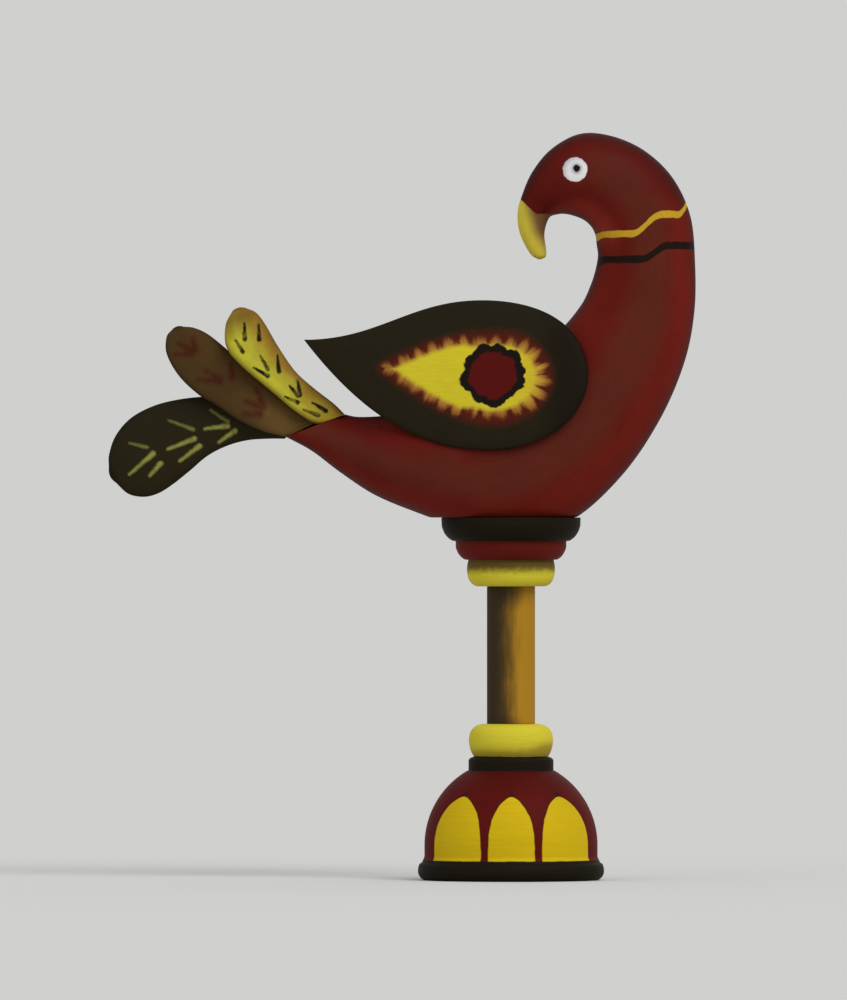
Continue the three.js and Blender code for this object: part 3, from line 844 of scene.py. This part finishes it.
pedestal = {
    "around": 220,
    "footRadius": 29.8, "footHeight": 5.5,
    "domeRadius": 27.7, "domeShoulder": 11.2, "domeNeckRadius": 14.0, "domeTop": 35.0,
    "collarRadius": 13.6, "collarTop": 39.5,
    "beadRadius": 13.5, "postRadius": 7.7,
    "cupRadius": 14.1, "cupTop": 102.5,
    "ringRadius": 17.7, "ringTop": 108.5,
    "discRadius": 22.3,
    "petals": {
        # degrees: of the petal in front, of those beside it, and how far round they are
        "midWidth": 31.0, "sideWidth": 41.5, "sideTurn": 41.5,
        "foot": 6.5, "top": 27.0, "bulge": 3.6, "point": 0.64,
        "turnShake": (0.3, 1.4), "heightShake": (0.3, 0.4), "sideEdge": (0.0, 0.35), "topSoft": 0.15,
        "lineEdge": (1.0, 0.5), "lineTop": 0.3, "lineSoft": 0.2, "lineRise": (0.3, 0.8), "lineAmount": 0.7,
        "dotSlopes": (0.36, 0.9), "dotRise": 0.6, "dotEdge": (1.0, 0.3), "footSoft": 0.12,
    },
    "soft": 0.08,  # the edges of the other colours
    "red": (81, 16, 12), "ringRed": (89, 23, 17), "shadeRed": (41, 12, 9), "black": (26, 22, 13),
    "yellow": (194, 181, 49), "petalYellow": (190, 161, 17), "brown": (81, 61, 28),
    "beadBrown": (118, 87, 36), "ochre": (158, 116, 32), "ochreBrown": (97, 71, 28), "umber": (50, 43, 28),
    "domeShade": ((0.15, 10), (24.0, 36.0), 0.35),
    "beadFrom": 0.15,  # over the collar
    "beadShade": ((0.35, 1.4), (43.4, 40.2), 0.6),
    "beadSide": (4.0, 12.0), "beadClimb": 2.2,  # towards this end the bead's shade climbs
    "cupShade": ((0.45, 1.8), (97.2, 100.6), 0.96),
    "capitalShake": (0.3, 0.3),
    "grain": (1.3, 2.2, 0.7),  # how fine the marks are round the axis, up and down, and outwards
    # painted shade of the post, which is lit from one side
    "postShade": {
        "shadeStreaks": (((0.5, 0.5, 0.12), 3.0, 0.5), ((1.6, 1.6, 0.05), 2.0, 0.35)),  # fineness, detail, strength
        # painted shade near the post's two ends
        "top": (-9, -2, 0.3), "foot": (4, 0, 0.2),  # from the post's ends, and how strong
        "ochreBrown": (-0.45, 0.2), "umber": (-0.05, 0.6), "amount": 0.95, "bristles": (1.4, 1.4, 0.06),
    },
    "curveSteps": 22, "domeSteps": 90,
    "step": 0.22,  # from point to point of a profile
    "softening": 0.25,  # how far round a corner is eased
    "axisWidth": 0.02,  # points as near the axis as this are left out
    "finish": {"bristle": (1.0, 1.0, 1.0), "streaks": 0.24, "patches": 0.2, "relief": 0.08},
}

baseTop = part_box("pedestal_base")[1].z / mm
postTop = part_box("pedestal_post")[1].z / mm
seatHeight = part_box("pedestal_capital")[1].z / mm


def profileOf(start, *stretches):
    # stretch after stretch, each from where the last one ended: a single point is reached straight, two are
    # the pull and the end of a quadratic, and more points are taken as they are
    parts = [np.array([start], float)]
    t = np.linspace(0, 1, pedestal["curveSteps"] + 1)[1:, None]
    for stretch in stretches:
        stretch = np.array(stretch, float)
        if len(stretch) == 2:
            pull, end = stretch
            stretch = (1 - t) ** 2 * parts[-1][-1] + 2 * (1 - t) * t * pull + t**2 * end
        parts.append(stretch)
    return np.vstack(parts)


def softened(profile):
    # corners eased as sandpaper leaves them: the profile is cut into short even steps, and each point moves
    # to the mean of itself and its neighbours within the softening's reach
    length = lengthAlong(profile)[-1]
    even = pointsAt(np.linspace(0, length, int(length / pedestal["step"])), profile)
    width = max(1, round(pedestal["softening"] / pedestal["step"]))
    kernel = np.ones(2 * width + 1) / (2 * width + 1)
    padded = np.vstack([even[:1].repeat(width, 0), even, even[-1:].repeat(width, 0)])
    mean = np.stack([np.convolve(padded[:, k], kernel, mode="valid") for k in (0, 1)], axis=-1)
    mean[0], mean[-1] = even[0], even[-1]
    return mean


def makeTurned(name, node, profile, material):
    # the profile carried round the pedestal's axis, without the points on the axis itself
    profile = softened(profile)
    profile = profile[profile[:, 0] > pedestal["axisWidth"]]
    angle = np.linspace(0, 2 * np.pi, pedestal["around"], endpoint=False)[None, :]
    radius, height = profile[:, :1], profile[:, 1:]
    rows = np.stack([radius * np.cos(angle), radius * np.sin(angle), height + 0 * angle], axis=-1)
    closedSkin(name, rows, material, node)


def baseProfile():
    # foot, dome, collar and bead, from the middle of the underside round to the middle of the top
    p = pedestal
    foot, footHeight, dome, shoulder = p["footRadius"], p["footHeight"], p["domeRadius"], p["domeShoulder"]
    collar, collarTop, bead, domeTop = p["collarRadius"], p["collarTop"], p["beadRadius"], p["domeTop"]
    steepness = math.sqrt(1 - (p["domeNeckRadius"] / dome) ** 2)
    domeRise = (domeTop - shoulder) / steepness
    turn = np.linspace(0, math.asin(steepness), p["domeSteps"])[:, None]
    return profileOf(
        (0, 0),
        [(foot - 2.2, 0)],
        [(foot - 0.5, 0.4), (foot, footHeight * 0.45)],
        [(foot, footHeight), (dome + 0.9, footHeight)],
        [(dome, footHeight + 2)],
        np.hstack([dome * np.cos(turn), shoulder + domeRise * np.sin(turn)]),
        [(collar, domeTop)],
        [(collar, collarTop - 1.3)],
        [(collar, collarTop - 0.4), (collar - 1.8, collarTop)],
        [(bead - 0.3, collarTop + 1.7), (bead, collarTop + 5)],
        [(bead, baseTop), (bead - 5.5, baseTop)],
        [(0, baseTop)],
    )


def capitalProfile():
    # cup, ring and disc, from the middle below round to the middle of the seat
    p = pedestal
    cup, ring, disc = p["cupRadius"], p["ringRadius"], p["discRadius"]
    cupTop, ringTop = p["cupTop"], p["ringTop"]
    return profileOf(
        (0, postTop),
        [(cup - 3.2, postTop)],
        [(cup - 0.3, postTop + 0.6), (cup, postTop + 5)],
        [(cup, cupTop - 1.6), (cup - 0.5, cupTop)],
        [(cup + 0.6, cupTop)],
        [(ring - 0.8, cupTop + 1), (ring, cupTop + 4)],
        [(ring, ringTop)],
        [(disc - 3.7, ringTop)],
        [(disc - 0.9, ringTop + 1.3), (disc - 0.1, seatHeight - 2.6)],
        [(disc, seatHeight)],
        [(0, seatHeight)],
    )


def postProfile():
    radius = pedestal["postRadius"]
    return profileOf((0, baseTop), [(radius, baseTop)], [(radius, postTop)], [(0, postTop)])


def roundTheAxis(paint):
    # brush and chisel marks of something that turned: long round the axis, short up and down and outwards
    around, up, outwards = pedestal["grain"]
    radius = ((paint.x * paint.x + paint.y * paint.y) ** 0.5).most(0.5)
    along = (paint.z + radius * outwards) * up
    return paint.together(paint.x / radius * around, paint.y / radius * around, along)


def basePaint():
    p, petals = pedestal, pedestal["petals"]
    paint = Paint("base oil paint", p["red"])
    paint.lay(p["shadeRed"], paint.shade(paint.z, *p["domeShade"]))
    # petals: upright and alike before and behind, as wide as (1 - rise^bulge)^point of their full width
    foot, top = petals["foot"], petals["top"]
    rise = ((paint.z - foot) / (top - foot)).most(0.0).least(1.0)
    arch = (1 - rise ** petals["bulge"]) ** petals["point"]
    turn = abs(paint.x.apply("ARCTAN2", paint.y * -1.0) * (180 / math.pi))
    turn = 90 - abs(turn - 90) + paint.shake(*petals["turnShake"])
    fromMid, fromSide = abs(turn), abs(turn - petals["sideTurn"])
    pastMid = fromMid - arch * (petals["midWidth"] / 2)
    outside = pastMid.least(fromSide - arch * (petals["sideWidth"] / 2))
    height = paint.z + paint.shake(*petals["heightShake"])
    onPetal = outside.under(*petals["sideEdge"]) * height.under(top, petals["topSoft"])
    # a dark line round each petal's upper part, and a small black dot over its tip
    outline = outside.under(*petals["lineEdge"]) * rise.ramp(*petals["lineRise"])
    outline = outline * height.under(top + petals["lineTop"], petals["lineSoft"])
    sideSlope, heightSlope = petals["dotSlopes"]
    fromDot = fromMid.least(fromSide) * sideSlope + abs(height - (top + petals["dotRise"])) * heightSlope
    paint.lay(p["black"], outline.most(fromDot.under(*petals["dotEdge"])) * petals["lineAmount"])
    paint.lay(p["petalYellow"], onPetal)
    aboveDome = 1 - height.under(p["domeTop"], p["soft"])
    paint.lay(p["black"], height.under(foot, petals["footSoft"]).most(aboveDome))
    onBead = 1 - height.under(p["collarTop"] + p["beadFrom"], p["soft"])
    paint.lay(p["yellow"], onBead)
    level = paint.z - paint.x.ramp(*p["beadSide"]) * p["beadClimb"]
    paint.lay(p["beadBrown"], paint.shade(level, *p["beadShade"]) * onBead)
    return paint.finish(roundTheAxis(paint), p["finish"])


def capitalPaint():
    p = pedestal
    paint = Paint("capital oil paint", p["yellow"])
    height = paint.z + paint.shake(*p["capitalShake"])
    paint.lay(p["brown"], paint.shade(height, *p["cupShade"]))
    paint.lay(p["ringRed"], 1 - height.under(p["cupTop"], p["soft"]))
    paint.lay(p["black"], 1 - height.under(p["ringTop"], p["soft"]))
    return paint.finish(roundTheAxis(paint), p["finish"])


def postPaintedShade():
    # painted shade: an umber tone dabbed over ochre, thick on one side and thinning out round to the other
    p, postShade = pedestal, pedestal["postShade"]
    paint = Paint("post ochre paint with painted shade", p["ochre"])
    shadeLevel = paint.x * (-1 / p["postRadius"])
    for fineness, detail, amount in postShade["shadeStreaks"]:
        place = paint.vector("MULTIPLY", paint.place, fineness)
        shadeLevel = shadeLevel + (paint.noise(place, 1.0, detail, 0.6) - 0.5) * amount
    # painted shade near both ends of the post, under the cup and over the bead
    for height, (start, full, amount) in ((postTop, postShade["top"]), (baseTop, postShade["foot"])):
        shadeLevel = shadeLevel + paint.z.ramp(height + start, height + full) * amount
    for colour in ("ochreBrown", "umber"):
        paint.lay(p[colour], shadeLevel.ramp(*postShade[colour]) * postShade["amount"])
    return paint.finish(paint.vector("MULTIPLY", paint.place, postShade["bristles"]), p["finish"])


makeBody(bodyPaint())
sharedWingPaint = wingPaint()
makeWing("wing_left", -1, sharedWingPaint)
makeWing("wing_right", 1, sharedWingPaint)
for featherName, featherStyle in tailFeathers.items():
    makeFeather(featherName, featherStyle, featherPaint(featherName, featherStyle))
makeTurned("base_turned", "pedestal_base", baseProfile(), basePaint())
makeTurned("capital_turned", "pedestal_capital", capitalProfile(), capitalPaint())
makeTurned("post_turned", "pedestal_post", postProfile(), postPaintedShade())


# Studio: a pale floor that runs out of sight, a sky of the same brightness, and broad suns

studio = {
    "floorRadius": 60.0,
    "floorSides": 128,
    "brightness": 0.63,  # of the sky, and of the floor as lit
    "suns": {
        # name: where the light comes from, strength, angle that it spreads over
        "key": ((0.46, -0.58, 0.67), 1.75, 34),
        "fill": ((-0.65, -0.70, 0.30), 0.45, 50),
        "back": ((0.20, 0.80, 0.60), 0.22, 60),
    },
}


def paleGrey(level):
    # with a touch less blue than the rest
    return (level, level, level * 0.99, 1.0)


def makeFloor():
    # its colour is the one that gives it the sky's brightness under the sky and the suns
    lit = studio["brightness"]
    for place, strength, _ in studio["suns"].values():
        lit += strength * place[2] / math.hypot(*place) / math.pi
    angle = np.linspace(0, 2 * np.pi, studio["floorSides"], endpoint=False)
    rim = np.stack([np.cos(angle), np.sin(angle), 0 * angle], axis=-1) * studio["floorRadius"]
    mesh = bpy.data.meshes.new("floor")
    mesh.from_pydata(rim.tolist(), [], [list(range(len(rim)))])
    material = bpy.data.materials.new("pale floor")
    material.use_nodes = True
    tree = material.node_tree
    look = {"Base Color": paleGrey(studio["brightness"] / lit), "Roughness": 1.0, "Specular IOR Level": 0.0}
    plug(tree, tree.nodes["Principled BSDF"], look)
    mesh.materials.append(material)
    floor = inScene("floor", mesh)


def makeLights():
    for name, (place, strength, spread) in studio["suns"].items():
        data = bpy.data.lights.new(name, "SUN")
        data.energy = strength
        data.angle = math.radians(spread)
        light = inScene(name, data)
        x, y, z = place
        light.rotation_euler = (math.atan2(math.hypot(x, y), z), 0, math.atan2(x, -y))
    sky = bpy.data.worlds.new("soft sky")
    sky.use_nodes = True
    plug(sky.node_tree, sky.node_tree.nodes["Background"], {"Color": paleGrey(studio["brightness"])})
    bpy.context.scene.world = sky


makeFloor()
makeLights()
cameraData.clip_end = 2 * studio["floorRadius"]
bpy.context.scene.view_settings.view_transform = "Standard"
print("stage: studio made")
